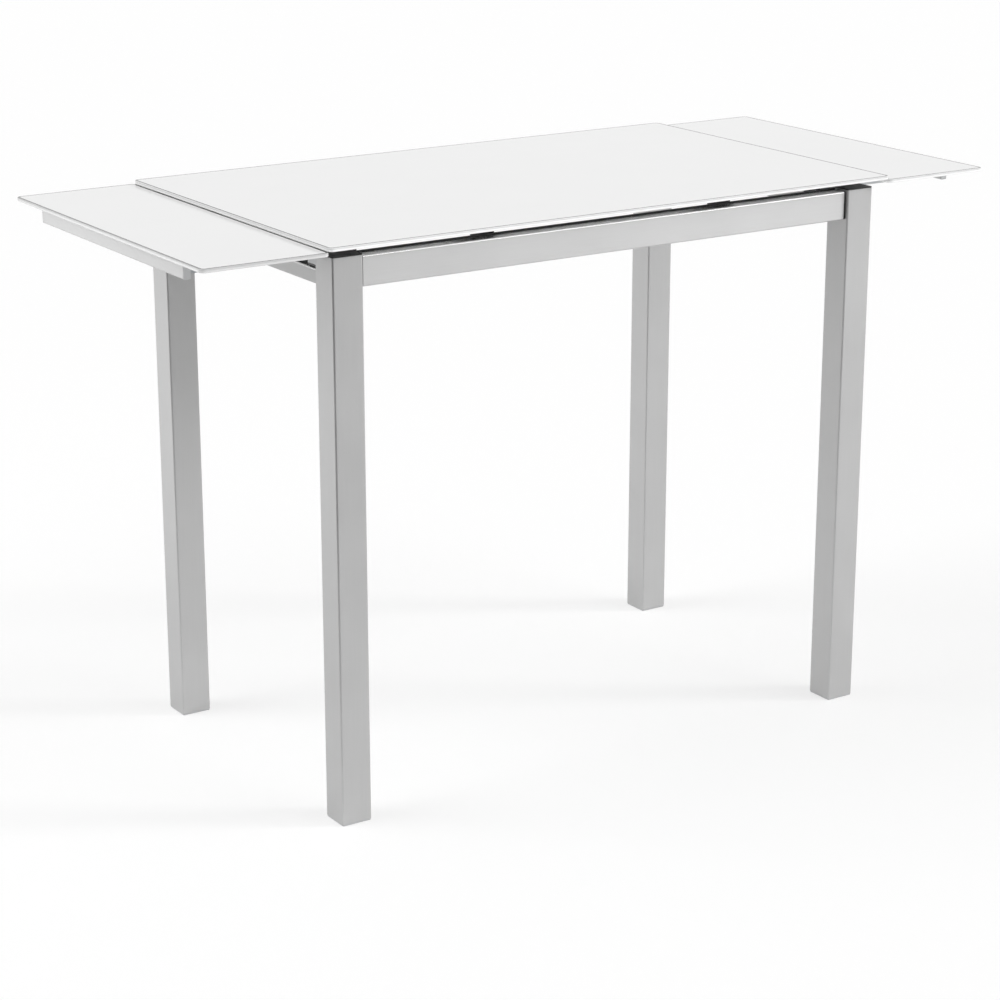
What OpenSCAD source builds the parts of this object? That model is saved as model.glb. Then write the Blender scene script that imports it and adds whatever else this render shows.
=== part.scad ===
/* [Table top] */
// Height of the middle glass's top face above the floor
table_h = 780; // [720:5:860]
// Length of the fixed middle glass
glass_l = 900; // [800:10:1200]
// Width of the middle glass and of both leaves
glass_w = 550; // [500:10:800]
// Thickness of the middle glass
glass_t = 5; // [4:0.5:8]
// Corner radius of every glass plate
glass_corner_r = 8; // [2:1:20]

/* [Leaves] */
// How far each leaf stands out past the middle glass
leaf_reach = 175; // [120:5:200]
// Thickness of each leaf's glass
leaf_t = 5; // [4:0.5:8]
// Strip of leaf that stays under the middle glass when drawn out
leaf_tuck = 2; // [1:0.5:8]
// Running gap between a leaf and the middle glass
leaf_gap = 0.4; // [0.3:0.1:1.5]
// Thickness of the end bar under a leaf
bar_d = 10; // [8:1:15]
// Height of the end bar under a leaf
bar_h = 20; // [16:1:22]
// Gap between an end bar's ends and the legs
bar_leg_gap = 2; // [1:0.5:10]
// Thickness of the bonding tape and pads under a leaf
tape_t = 1; // [0.5:0.1:2]

/* [Legs] */
// Side of the square leg tube
leg_s = 44; // [42:1:60]
// Wall of the leg tube
leg_wall = 1.5; // [1.2:0.1:2.5]
// Outer corner radius of the leg tube
leg_r = 2.5; // [1:0.5:5]
// Distance of the legs behind the ends of the middle glass
leg_inset_x = 15; // [10:1:60]
// Distance of the legs behind the long edges of the glass
leg_inset_y = 20; // [10:1:60]
// Free height between a leaf and the leg caps
cap_clear = 6; // [3:0.5:12]
// Thickness of the cap's rim on top of a leg
cap_rim = 1.5; // [1:0.5:3]
// Thickness of the foot plug's rim under a leg
foot_rim = 2; // [1:0.5:5]
// Depth that caps and foot plugs reach into a leg
plug_depth = 15; // [8:1:25]

/* [Aprons and side rails] */
// Height of the long aprons
apron_h = 40; // [36:1:60]
// Thickness of the long aprons
apron_d = 20; // [15:1:24]
// Height of the low rails at the two ends
side_h = 20; // [18:1:24]
// Thickness of the low rails at the two ends
side_d = 20; // [15:1:24]
// Wall of the apron and side rail tubes
rail_wall = 1.5; // [1.2:0.1:2]
// Outer corner radius of the apron, side rail and end bar tubes
rail_r = 2; // [0.8:0.1:2.5]
// Distance of the aprons and side rails behind the legs' outer faces
rail_recess = 5; // [2:0.5:8]
// Drop of the aprons below the leg tube's top
apron_drop = 2; // [0:0.5:5]
// Thickness of the end plug's rim between a rail and a leg
end_rim = 2.5; // [2:0.5:6]
// Depth that an end plug reaches into its tube
end_plug_depth = 10; // [5:1:12]
// Thickness of the rubber strip between a side rail and the guide angles
strip_t = 2; // [1:0.5:3]
// Distance of a rubber strip's edges from the side rail's faces
strip_inset = 1.5; // [1.5:0.5:4]

/* [Guides] */
// Length of each of the four guides, with the collar of its bush
guide_l = 50; // [44:1:51]
// Width of the guides
guide_w = 25; // [22:1:30]
// Height of a guide's lower chamber
chamber_h = 4.5; // [4:0.5:8]
// Wall of the guides
guide_wall = 2; // [1.5:0.1:2.2]
// Gap between a guide and the legs
guide_leg_gap = 2; // [1:0.5:4]
// Free height between a leaf and the guides
guide_clear = 3; // [1.5:0.5:4]
// Thickness of the bush's collar over a guide's outer end
collar_t = 2; // [1.5:0.5:3]
// Width of a leaf's sliding rail
rail_w = 15; // [12:1:17]
// Height of a leaf's sliding rail
rail_h = 8.5; // [7:0.5:10]
// Wall of a leaf's sliding rail
slide_wall = 2; // [1.5:0.1:2.5]
// Thickness of the bush above and below a rail
liner_t = 1.2; // [1:0.1:1.4]
// Running gap round everything that slides
slide_gap = 0.3; // [0.2:0.05:0.5]
// Free height above and below a carrier in the guide's slot
slot_gap = 1; // [0.5:0.1:1.5]
// Gap at a stop when a leaf is fully out or fully in
stop_gap = 0.5; // [0.3:0.1:2]
// Length of the shoe on a rail's inner end
shoe_l = 7; // [6:0.5:8]
// Thickness of the steel angle that carries the guides
angle_t = 2.5; // [2:0.5:3.5]
// Height of the angle's edge above the apron
angle_lip = 2; // [1:0.5:4]

/* [Leaf carriers] */
// Thickness of the carrier's tongue and upright
carrier_t = 3; // [2.5:0.5:4]
// Distance of a carrier's upright from the guide
carrier_gap = 2; // [1:0.5:4]
// Thickness of the flange under the leaf glass
flange_t = 2; // [1.5:0.5:3]
// Width of the flange under the leaf glass
flange_w = 40; // [30:1:60]
// Distance of the carrier's inner end behind the leaf's inner edge
carrier_setback = 8; // [4:1:30]
// Diameter of the leaf's bonding pads
leaf_pad_d = 30; // [20:1:38]
// Distance of the leaf's bonding pads from the flange's ends
leaf_pad_margin = 3; // [1:0.5:10]

/* [Middle glass supports] */
// Width of the flat bars that carry the middle glass
flat_w = 40; // [25:1:60]
// Thickness of the flat bars that carry the middle glass
flat_t = 6; // [4:0.5:8]
// Thickness of the bonding pads under the middle glass
glass_pad_t = 2.4; // [1:0.2:4]
// Distance of a flat bar behind a pushed-in leaf
flat_setback = 61; // [10:1:80]
// Width of the support block under each bar end
block_w = 25; // [15:1:40]
// Diameter of the bonding pads under the middle glass
pad_d = 40; // [25:1:60]
// Distance of the outer pads from the guides
pad_setback = 34; // [25:1:60]

/* [Fasteners] */
// Thickness of the corner brackets
bracket_t = 3; // [2:0.5:4]
// Length of a corner bracket's wings
wing_l = 46; // [40:1:70]
// Shank radius of the corner bolts
bolt_r = 2.5; // [2:0.25:3]
// Head radius of the corner bolts
bolt_head_r = 4.5; // [4:0.25:5]
// Head height of the corner bolts
bolt_head_h = 2.8; // [2:0.2:4]
// Outer radius of the rivet nuts
nut_r = 3.5; // [3.2:0.1:4]
// Length of a rivet nut behind the tube wall
nut_grip = 5; // [4:0.5:8]
// Distance between the two bolts of a wing
bolt_pitch = 16; // [12:1:24]
// Shank radius of the small screws
screw_r = 2; // [1.5:0.25:2.5]
// Head radius of the small screws
screw_head_r = 4; // [3.5:0.25:5]
// Head height of the small screws
screw_head_h = 2.5; // [2:0.1:3]
// Distance of the inner angle screws from the support blocks
screw_setback = 90; // [40:1:120]
// Distance of the outer angle screws from the angle's ends
screw_end = 70; // [60:1:120]
// Distance of the guide screws from the guide's end and the side rail
guide_screw_end = 7; // [5:1:9]

/* [Hidden] */

left = -1;
right = 1;
front = -1;
rear = 1;
toward_x = [0, 90, 0];
toward_y = [-90, 0, 0];
upward = [0, 0, 0];
downward = [180, 0, 0];

$fn = 48;
arc_steps = 6;
glass_arc_steps = 16;
cut_over = 0.5;
inner_r_min = 0.4;
plug_gap = 0.2;
plug_wall = 2;
plug_r = 1;
rim_inset = 0.5;
hole_gap = 0.3;
nut_gap = 0.1;
nut_flange_w = 1.5;
nut_flange_r = nut_r + nut_flange_w;
nut_flange_t = 1.2;
bolt_tip = 1;

// Heights, from the top down
glass_z0 = table_h - glass_t;
leaf_z1 = glass_z0 - leaf_gap;
leaf_z0 = leaf_z1 - leaf_t;
cavity_h = rail_h + 2 * (liner_t + slide_gap);
guide_z1 = leaf_z0 - guide_clear;
cavity_z1 = guide_z1 - guide_wall;
cavity_z0 = cavity_z1 - cavity_h;
guide_z0 = cavity_z0 - 2 * guide_wall - chamber_h;
cap_z1 = leaf_z0 - cap_clear;
leg_z1 = cap_z1 - cap_rim;
apron_z1 = leg_z1 - apron_drop;
apron_z0 = apron_z1 - apron_h;
angle_z1 = apron_z1 + angle_lip;
angle_z0 = guide_z0 - angle_t;
side_z1 = angle_z0 - strip_t;
side_z0 = side_z1 - side_h;
flat_z1 = glass_z0 - glass_pad_t;
flat_z0 = flat_z1 - flat_t;

// Legs, aprons and side rails, in the rear right corner
leg_x1 = glass_l / 2 - leg_inset_x;
leg_x0 = leg_x1 - leg_s;
leg_y1 = glass_w / 2 - leg_inset_y;
leg_y0 = leg_y1 - leg_s;
apron_y1 = leg_y1 - rail_recess;
apron_y0 = apron_y1 - apron_d;
apron_half = leg_x0 - end_rim;
side_x1 = leg_x1 - rail_recess;
side_x0 = side_x1 - side_d;
side_half = leg_y0 - end_rim;

// Corner brackets and their bolts
bracket_margin = 1.5;
bracket_z0 = max(apron_z0, side_z0) + bracket_margin;
bracket_z1 = min(side_z1, angle_z0) - bracket_margin;
bracket_mid = (bracket_z0 + bracket_z1) / 2;
bolt_margin = 0.4;
bolt_stagger = (bracket_z1 - bracket_z0) / 2 - bolt_head_r - bolt_margin;
wing_x = leg_x0 - wing_l;
wing_y = leg_y0 - wing_l;
first_bolt = 10;
leg_bolt_places = [
    [[leg_x0 - bracket_t, (leg_y0 + apron_y0 - bracket_t) / 2, bracket_mid + bolt_stagger], toward_x],
    [[(leg_x0 + side_x0 - bracket_t) / 2, leg_y0 - bracket_t, bracket_mid - bolt_stagger], toward_y]
];
apron_bolt_places = [
    for (row = [0:1]) [[wing_x + first_bolt + row * bolt_pitch, apron_y0 - bracket_t, bracket_mid], toward_y]
];
side_bolt_places = [
    for (row = [0:1]) [[side_x0 - bracket_t, wing_y + first_bolt + row * bolt_pitch, bracket_mid], toward_x]
];

// Guides and what lies in them, in the rear right corner
guide_y1 = leg_y0 - guide_leg_gap;
guide_y0 = guide_y1 - guide_w;
guide_x1 = side_x1 - collar_t;
guide_x0 = side_x1 - guide_l;
guide_mid_y = (guide_y0 + guide_y1) / 2;
cavity_mid_z = (cavity_z0 + cavity_z1) / 2;
cavity_w = guide_w - 2 * guide_wall;
guide_slot = carrier_t + 2 * slot_gap;
angle_half = apron_half;
angle_y0 = apron_y0 - angle_t;

// Leaf pieces, on the right side
leaf_x1 = glass_l / 2 + leaf_reach;
leaf_x0 = glass_l / 2 - leaf_tuck;
leaf_in_x0 = leaf_x0 - leaf_reach;
bar_x0 = side_x1 + leaf_reach + stop_gap;
bar_x1 = bar_x0 + bar_d;
bar_z1 = leaf_z0 - tape_t;
bar_z0 = bar_z1 - bar_h;
bar_half = leg_y0 - bar_leg_gap;
bar_rim = 1.5;
shoe_cap = 3;
shoe_x1 = guide_x0 - stop_gap;
shoe_x0 = shoe_x1 - shoe_l;
rail_x0 = shoe_x0 + shoe_cap;
rail_y0 = guide_mid_y - rail_w / 2;
carrier_x0 = leaf_x0 + carrier_setback;
carrier_y1 = guide_y0 - carrier_gap;
carrier_y0 = carrier_y1 - carrier_t;
flange_z1 = leaf_z0 - tape_t;
flange_z0 = flange_z1 - flange_t;
leaf_pad_inset = leaf_pad_d / 2 + leaf_pad_margin;

// Supports of the middle glass, on the right side
flat_x1 = leaf_in_x0 - flat_setback;
flat_x0 = flat_x1 - flat_w;
flat_mid_x = (flat_x0 + flat_x1) / 2;
block_mid_y = (guide_y1 + angle_y0) / 2;
pad_y = guide_y0 - pad_setback;
angle_screw_xs = [flat_mid_x - screw_setback, angle_half - screw_end];
guide_screw_xs = [guide_x0 + guide_screw_end, side_x0 - guide_screw_end];
angle_screw_z = (guide_z0 + angle_z1) / 2;
sink_depth = screw_head_h + hole_gap;

// Points of a centred rectangle with round corners
function round_rect(w, d, r, steps) = [
    for (quarter = [0:3])
        let (side_w = quarter == 0 || quarter == 3 ? 1 : -1)
        let (side_d = quarter < 2 ? 1 : -1)
        for (step = [0:steps])
            let (turn = 90 * (quarter + step / steps))
            [side_w * (w / 2 - r) + r * cos(turn), side_d * (d / 2 - r) + r * sin(turn)]
];

module steel() {
    color([0.74, 0.75, 0.76]) children();
}

module zinc() {
    color([0.62, 0.63, 0.65]) children();
}

module black_steel() {
    color([0.10, 0.10, 0.11]) children();
}

module black_plastic() {
    color([0.05, 0.05, 0.05]) children();
}

module grey_plastic() {
    color([0.72, 0.72, 0.73]) children();
}

module white_glass() {
    color([0.95, 0.95, 0.95]) children();
}

// A box given by its lowest and highest corners
module block(low, high) {
    translate(low) cube(high - low);
}

module tube_profile(w, d, wall, r) {
    difference() {
        polygon(round_rect(w, d, r, arc_steps));
        polygon(round_rect(w - 2 * wall, d - 2 * wall, max(r - wall, inner_r_min), arc_steps));
    }
}

// Extrudes a Y-Z section along X, centred
module along_x(length) {
    rotate([90, 0, 90]) linear_extrude(length, center = true) children();
}

// Extrudes an X-Z section along Y, centred
module along_y(length) {
    rotate([90, 0, 0]) linear_extrude(length, center = true) children();
}

// Moves what is modelled in the rear right corner to another side or corner
module to_corner(side_x, side_y) {
    mirror([side_x == left ? 1 : 0, 0, 0])
        mirror([0, side_y == front ? 1 : 0, 0])
            children();
}

module each_corner() {
    for (side_x = [left, right])
        for (side_y = [front, rear])
            to_corner(side_x, side_y) children();
}

module at_places(places) {
    for (place = places)
        translate(place[0]) rotate(place[1]) children();
}

// Legs
module leg() {
    mid_x = (leg_x0 + leg_x1) / 2;
    mid_y = (leg_y0 + leg_y1) / 2;
    difference() {
        translate([mid_x, mid_y, foot_rim])
            linear_extrude(leg_z1 - foot_rim) tube_profile(leg_s, leg_s, leg_wall, leg_r);
        at_places(leg_bolt_places) wall_hole(leg_wall);
    }
}

// A hollow plug with a rim, on the Z axis, rim below
module leg_plug(rim, rim_side, rim_r) {
    plug_side = leg_s - 2 * (leg_wall + plug_gap);
    linear_extrude(rim) polygon(round_rect(rim_side, rim_side, rim_r, arc_steps));
    translate([0, 0, rim])
        linear_extrude(plug_depth) tube_profile(plug_side, plug_side, plug_wall, plug_r);
}

module leg_cap() {
    translate([(leg_x0 + leg_x1) / 2, (leg_y0 + leg_y1) / 2, cap_z1])
        mirror([0, 0, 1]) leg_plug(cap_rim, leg_s, leg_r);
}

module foot_plug() {
    translate([(leg_x0 + leg_x1) / 2, (leg_y0 + leg_y1) / 2, 0])
        leg_plug(foot_rim, leg_s - 2 * rim_inset, leg_r - rim_inset);
}

module leg_front_left() {
    steel() to_corner(left, front) leg();
}

module leg_front_right() {
    steel() to_corner(right, front) leg();
}

module leg_rear_left() {
    steel() to_corner(left, rear) leg();
}

module leg_rear_right() {
    steel() to_corner(right, rear) leg();
}

module leg_caps() {
    black_plastic() each_corner() leg_cap();
}

module foot_plugs() {
    grey_plastic() each_corner() foot_plug();
}

// Aprons and side rails
module apron() {
    difference() {
        translate([0, (apron_y0 + apron_y1) / 2, (apron_z0 + apron_z1) / 2])
            along_x(2 * apron_half) tube_profile(apron_d, apron_h, rail_wall, rail_r);
        for (side_x = [left, right])
            to_corner(side_x, rear) {
                at_places(apron_bolt_places) wall_hole(rail_wall);
                at_places(angle_screw_places()) screw_hole(angle_t + rail_wall);
            }
    }
}

module side_rail() {
    difference() {
        translate([(side_x0 + side_x1) / 2, 0, (side_z0 + side_z1) / 2])
            along_y(2 * side_half) tube_profile(side_d, side_h, rail_wall, rail_r);
        for (side_y = [front, rear])
            to_corner(right, side_y) at_places(side_bolt_places) wall_hole(rail_wall);
    }
}

module end_plug_section(w, h, inset) {
    polygon(round_rect(w - 2 * inset, h - 2 * inset, max(rail_r - inset, inner_r_min), arc_steps));
}

module apron_end_plug() {
    rim_mid = (apron_half + leg_x0) / 2;
    plug_mid = apron_half - end_plug_depth / 2;
    translate([0, (apron_y0 + apron_y1) / 2, (apron_z0 + apron_z1) / 2]) {
        translate([rim_mid, 0, 0])
            along_x(end_rim) end_plug_section(apron_d, apron_h, rim_inset);
        translate([plug_mid, 0, 0])
            along_x(end_plug_depth) end_plug_section(apron_d, apron_h, rail_wall + plug_gap);
    }
}

module side_rail_end_plug() {
    rim_mid = (side_half + leg_y0) / 2;
    plug_mid = side_half - end_plug_depth / 2;
    translate([(side_x0 + side_x1) / 2, 0, (side_z0 + side_z1) / 2]) {
        translate([0, rim_mid, 0])
            along_y(end_rim) end_plug_section(side_d, side_h, rim_inset);
        translate([0, plug_mid, 0])
            along_y(end_plug_depth) end_plug_section(side_d, side_h, rail_wall + plug_gap);
    }
}

module rubber_strip() {
    block(
        [side_x0 + strip_inset, -side_half, side_z1],
        [side_x1 - strip_inset, side_half, side_z1 + strip_t]
    );
}

module front_apron() {
    steel() to_corner(right, front) apron();
}

module rear_apron() {
    steel() apron();
}

module apron_end_plugs() {
    black_plastic() each_corner() apron_end_plug();
}

module left_side_rail() {
    steel() to_corner(left, rear) side_rail();
}

module right_side_rail() {
    steel() side_rail();
}

module side_rail_end_plugs() {
    black_plastic() each_corner() side_rail_end_plug();
}

module rubber_strips() {
    black_plastic() {
        to_corner(left, rear) rubber_strip();
        rubber_strip();
    }
}

// Corner brackets, bent round the inner corner of a leg
module corner_bracket() {
    outline = [
        [wing_x, apron_y0],
        [leg_x0, apron_y0],
        [leg_x0, leg_y0],
        [side_x0, leg_y0],
        [side_x0, wing_y],
        [side_x0 - bracket_t, wing_y],
        [side_x0 - bracket_t, leg_y0 - bracket_t],
        [leg_x0 - bracket_t, leg_y0 - bracket_t],
        [leg_x0 - bracket_t, apron_y0 - bracket_t],
        [wing_x, apron_y0 - bracket_t]
    ];
    difference() {
        translate([0, 0, bracket_z0])
            linear_extrude(bracket_z1 - bracket_z0) polygon(outline);
        at_places(concat(leg_bolt_places, apron_bolt_places, side_bolt_places))
            translate([0, 0, -cut_over]) cylinder(h = bracket_t + 2 * cut_over, r = bolt_r + hole_gap);
    }
}

module corner_bracket_front_left() {
    black_steel() to_corner(left, front) corner_bracket();
}

module corner_bracket_front_right() {
    black_steel() to_corner(right, front) corner_bracket();
}

module corner_bracket_rear_left() {
    black_steel() to_corner(left, rear) corner_bracket();
}

module corner_bracket_rear_right() {
    black_steel() to_corner(right, rear) corner_bracket();
}

// Bolts stand on a bracket's face with the head at negative Z
module bolt(wall) {
    socket_r = 1.5;
    socket_depth = 1.6;
    difference() {
        union() {
            translate([0, 0, -bolt_head_h]) cylinder(h = bolt_head_h, r = bolt_head_r);
            cylinder(h = bracket_t + wall + nut_grip + bolt_tip, r = bolt_r);
        }
        translate([0, 0, -bolt_head_h - cut_over])
            cylinder(h = socket_depth + cut_over, r = socket_r, $fn = 6);
    }
}

// Hole in a tube's wall behind a bracket, wide enough for a rivet nut
module wall_hole(wall) {
    translate([0, 0, bracket_t - cut_over]) cylinder(h = wall + 2 * cut_over, r = nut_r + nut_gap);
}

module rivet_nut(wall) {
    difference() {
        union() {
            translate([0, 0, bracket_t]) cylinder(h = wall + nut_grip, r = nut_r);
            translate([0, 0, bracket_t + wall]) cylinder(h = nut_flange_t, r = nut_flange_r);
        }
        translate([0, 0, bracket_t - cut_over])
            cylinder(h = wall + nut_grip + 2 * cut_over, r = bolt_r + nut_gap);
    }
}

module leg_bolts() {
    zinc() each_corner() at_places(leg_bolt_places) bolt(leg_wall);
}

module apron_bolts() {
    zinc() each_corner() at_places(apron_bolt_places) bolt(rail_wall);
}

module side_rail_bolts() {
    zinc() each_corner() at_places(side_bolt_places) bolt(rail_wall);
}

module rivet_nuts() {
    zinc() each_corner() {
        at_places(leg_bolt_places) rivet_nut(leg_wall);
        at_places(concat(apron_bolt_places, side_bolt_places)) rivet_nut(rail_wall);
    }
}

// Steel angles along the aprons, with a tongue under the guides at both ends
function angle_screw_places() = [for (x = angle_screw_xs) [[x, angle_y0, angle_screw_z], toward_y]];
function guide_screw_places() = [for (x = guide_screw_xs) [[x, guide_mid_y, angle_z0], upward]];

module guide_angle() {
    section = [
        [guide_y0, angle_z0],
        [apron_y0, angle_z0],
        [apron_y0, angle_z1],
        [angle_y0, angle_z1],
        [angle_y0, guide_z0],
        [guide_y0, guide_z0]
    ];
    difference() {
        union() {
            along_x(2 * angle_half) polygon(section);
            along_x(2 * side_x1) translate([guide_y0, angle_z0]) square([guide_w, angle_t]);
        }
        for (side_x = [left, right])
            to_corner(side_x, rear) {
                at_places(angle_screw_places()) screw_hole(angle_t);
                at_places(guide_screw_places()) screw_hole(angle_t);
            }
    }
}

module front_guide_angle() {
    black_steel() to_corner(right, front) guide_angle();
}

module rear_guide_angle() {
    black_steel() guide_angle();
}

// Small screws stand on a face with the head at negative Z
module screw(length) {
    slot_r = 1.2;
    slot_depth = 1.2;
    difference() {
        union() {
            translate([0, 0, -screw_head_h]) cylinder(h = screw_head_h, r = screw_head_r);
            cylinder(h = length, r = screw_r);
        }
        translate([0, 0, -screw_head_h - cut_over])
            cylinder(h = slot_depth + cut_over, r = slot_r, $fn = 6);
    }
}

module screw_hole(length) {
    translate([0, 0, -cut_over]) cylinder(h = length + 2 * cut_over, r = screw_r + hole_gap);
}

module angle_screws() {
    screw_grip = 4;
    zinc() each_corner() at_places(angle_screw_places()) screw(angle_t + rail_wall + screw_grip);
}

// Guides: a closed chamber below, and above it a channel open along its inner side
module guide_section() {
    difference() {
        translate([guide_y0, guide_z0]) square([guide_w, guide_z1 - guide_z0]);
        translate([guide_y0 + guide_wall, guide_z0 + guide_wall]) square([cavity_w, chamber_h]);
        translate([guide_y0 + guide_wall, cavity_z0]) square([cavity_w, cavity_h]);
        translate([guide_y0 - cut_over, cavity_mid_z - guide_slot / 2])
            square([guide_wall + 2 * cut_over, guide_slot]);
    }
}

module guide() {
    difference() {
        translate([(guide_x0 + guide_x1) / 2, 0, 0]) along_x(guide_x1 - guide_x0) guide_section();
        at_places(guide_screw_places()) screw_hole(angle_t + guide_wall);
    }
}

module guide_front_left() {
    zinc() to_corner(left, front) guide();
}

module guide_front_right() {
    zinc() to_corner(right, front) guide();
}

module guide_rear_left() {
    zinc() to_corner(left, rear) guide();
}

module guide_rear_right() {
    zinc() guide();
}

module guide_screws() {
    screw_grip = 3;
    zinc() each_corner() at_places(guide_screw_places()) screw(angle_t + guide_wall + screw_grip);
}

// Opening for a rail, joined to the slot that its carrier passes through
module rail_opening() {
    translate([guide_mid_y, cavity_mid_z]) {
        square([rail_w + 2 * slide_gap, rail_h + 2 * slide_gap], center = true);
        translate([-guide_w, -guide_slot / 2]) square([guide_w, guide_slot]);
    }
}

// A bush lines the guide's channel, and its collar covers the guide's outer end
module guide_bush() {
    translate([(guide_x0 + guide_x1) / 2, 0, 0])
        along_x(guide_x1 - guide_x0)
            difference() {
                translate([guide_y0 + guide_wall, cavity_z0]) square([cavity_w, cavity_h]);
                rail_opening();
            }
    translate([(guide_x1 + side_x1) / 2, 0, 0])
        along_x(collar_t)
            difference() {
                translate([guide_y0, guide_z0]) square([guide_w, guide_z1 - guide_z0]);
                rail_opening();
            }
}

module guide_bushes() {
    grey_plastic() each_corner() guide_bush();
}

// Supports of the middle glass
module support_block() {
    screw_depth = 12;
    difference() {
        block(
            [flat_mid_x - block_w / 2, guide_y1, guide_z0],
            [flat_mid_x + block_w / 2, angle_y0, flat_z0]
        );
        translate([flat_mid_x, block_mid_y, flat_z0 - screw_depth])
            cylinder(h = screw_depth + cut_over, r = screw_r + nut_gap);
    }
}

module flat_bar() {
    difference() {
        block([flat_x0, -angle_y0, flat_z0], [flat_x1, angle_y0, flat_z1]);
        for (side_y = [front, rear])
            translate([flat_mid_x, side_y * block_mid_y, 0]) {
                translate([0, 0, flat_z0 - cut_over])
                    cylinder(h = flat_t + 2 * cut_over, r = screw_r + hole_gap);
                translate([0, 0, flat_z1 - sink_depth])
                    cylinder(h = sink_depth + cut_over, r = screw_head_r + hole_gap);
            }
    }
}

module glass_pad_row() {
    for (y = [-pad_y, 0, pad_y])
        translate([flat_mid_x, y, flat_z1]) cylinder(h = glass_pad_t, r = pad_d / 2);
}

module support_blocks() {
    black_plastic() each_corner() support_block();
}

module left_flat_bar() {
    black_steel() to_corner(left, rear) flat_bar();
}

module right_flat_bar() {
    black_steel() flat_bar();
}

module flat_bar_screws() {
    screw_grip = 8;
    zinc() each_corner()
        translate([flat_mid_x, block_mid_y, flat_z1 - sink_depth])
            rotate(downward) screw(flat_t - sink_depth + screw_grip);
}

module glass_pads() {
    black_plastic() {
        glass_pad_row();
        to_corner(left, rear) glass_pad_row();
    }
}

module middle_glass() {
    white_glass()
        translate([0, 0, glass_z0])
            linear_extrude(glass_t) polygon(round_rect(glass_l, glass_w, glass_corner_r, glass_arc_steps));
}

// Leaves
module leaf_glass() {
    translate([(leaf_x0 + leaf_x1) / 2, 0, leaf_z0])
        linear_extrude(leaf_t)
            polygon(round_rect(leaf_x1 - leaf_x0, glass_w, glass_corner_r, glass_arc_steps));
}

module end_bar() {
    translate([(bar_x0 + bar_x1) / 2, 0, (bar_z0 + bar_z1) / 2])
        along_y(2 * (bar_half - bar_rim)) tube_profile(bar_d, bar_h, rail_wall, rail_r);
}

module end_bar_cap() {
    rim_mid = bar_half - bar_rim / 2;
    plug_mid = bar_half - bar_rim - end_plug_depth / 2;
    translate([(bar_x0 + bar_x1) / 2, 0, (bar_z0 + bar_z1) / 2]) {
        translate([0, rim_mid, 0])
            along_y(bar_rim) polygon(round_rect(bar_d, bar_h, rail_r, arc_steps));
        translate([0, plug_mid, 0])
            along_y(end_plug_depth) end_plug_section(bar_d, bar_h, rail_wall + plug_gap);
    }
}

module end_tape() {
    tape_inset = 1;
    tape_end = 10;
    block(
        [bar_x0 + tape_inset, tape_end - bar_half, bar_z1],
        [bar_x1 - tape_inset, bar_half - tape_end, leaf_z0]
    );
}

// A rail runs from the end bar into the guide
module slide_rail() {
    translate([(rail_x0 + bar_x0) / 2, guide_mid_y, cavity_mid_z])
        along_x(bar_x0 - rail_x0)
            difference() {
                square([rail_w, rail_h], center = true);
                square([rail_w - 2 * slide_wall, rail_h - 2 * slide_wall], center = true);
            }
}

// A shoe on the rail's inner end runs on the angle and stops at the guide
module rail_shoe() {
    shoe_z0 = guide_z0 + slide_gap;
    difference() {
        block(
            [shoe_x0, guide_y0 + guide_wall, shoe_z0],
            [shoe_x1, guide_y1 - guide_wall, cavity_z1]
        );
        block(
            [rail_x0, rail_y0, cavity_mid_z - rail_h / 2],
            [shoe_x1 + cut_over, rail_y0 + rail_w, cavity_mid_z + rail_h / 2]
        );
    }
}

// A carrier passes from the rail through the slot and up to the leaf
module carrier() {
    section = [
        [rail_y0, cavity_mid_z - carrier_t / 2],
        [rail_y0, cavity_mid_z + carrier_t / 2],
        [carrier_y1, cavity_mid_z + carrier_t / 2],
        [carrier_y1, flange_z1],
        [carrier_y1 - flange_w, flange_z1],
        [carrier_y1 - flange_w, flange_z0],
        [carrier_y0, flange_z0],
        [carrier_y0, cavity_mid_z - carrier_t / 2]
    ];
    translate([(carrier_x0 + bar_x0) / 2, 0, 0])
        along_x(bar_x0 - carrier_x0) polygon(section);
}

module leaf_pad_pair() {
    for (x = [carrier_x0 + leaf_pad_inset, bar_x0 - leaf_pad_inset])
        translate([x, carrier_y1 - flange_w / 2, flange_z1]) cylinder(h = tape_t, r = leaf_pad_d / 2);
}

module both_ends(side_x) {
    for (side_y = [front, rear])
        to_corner(side_x, side_y) children();
}

module left_leaf_glass() {
    white_glass() to_corner(left, rear) leaf_glass();
}

module right_leaf_glass() {
    white_glass() leaf_glass();
}

module left_end_bar() {
    steel() to_corner(left, rear) end_bar();
}

module right_end_bar() {
    steel() end_bar();
}

module left_end_bar_caps() {
    grey_plastic() both_ends(left) end_bar_cap();
}

module right_end_bar_caps() {
    grey_plastic() both_ends(right) end_bar_cap();
}

module left_end_tape() {
    black_plastic() to_corner(left, rear) end_tape();
}

module right_end_tape() {
    black_plastic() end_tape();
}

module left_front_rail() {
    zinc() to_corner(left, front) slide_rail();
}

module left_rear_rail() {
    zinc() to_corner(left, rear) slide_rail();
}

module right_front_rail() {
    zinc() to_corner(right, front) slide_rail();
}

module right_rear_rail() {
    zinc() slide_rail();
}

module left_front_carrier() {
    zinc() to_corner(left, front) carrier();
}

module left_rear_carrier() {
    zinc() to_corner(left, rear) carrier();
}

module right_front_carrier() {
    zinc() to_corner(right, front) carrier();
}

module right_rear_carrier() {
    zinc() carrier();
}

module left_rail_shoes() {
    black_plastic() both_ends(left) rail_shoe();
}

module right_rail_shoes() {
    black_plastic() both_ends(right) rail_shoe();
}

module left_leaf_pads() {
    black_plastic() both_ends(left) leaf_pad_pair();
}

module right_leaf_pads() {
    black_plastic() both_ends(right) leaf_pad_pair();
}

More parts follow.
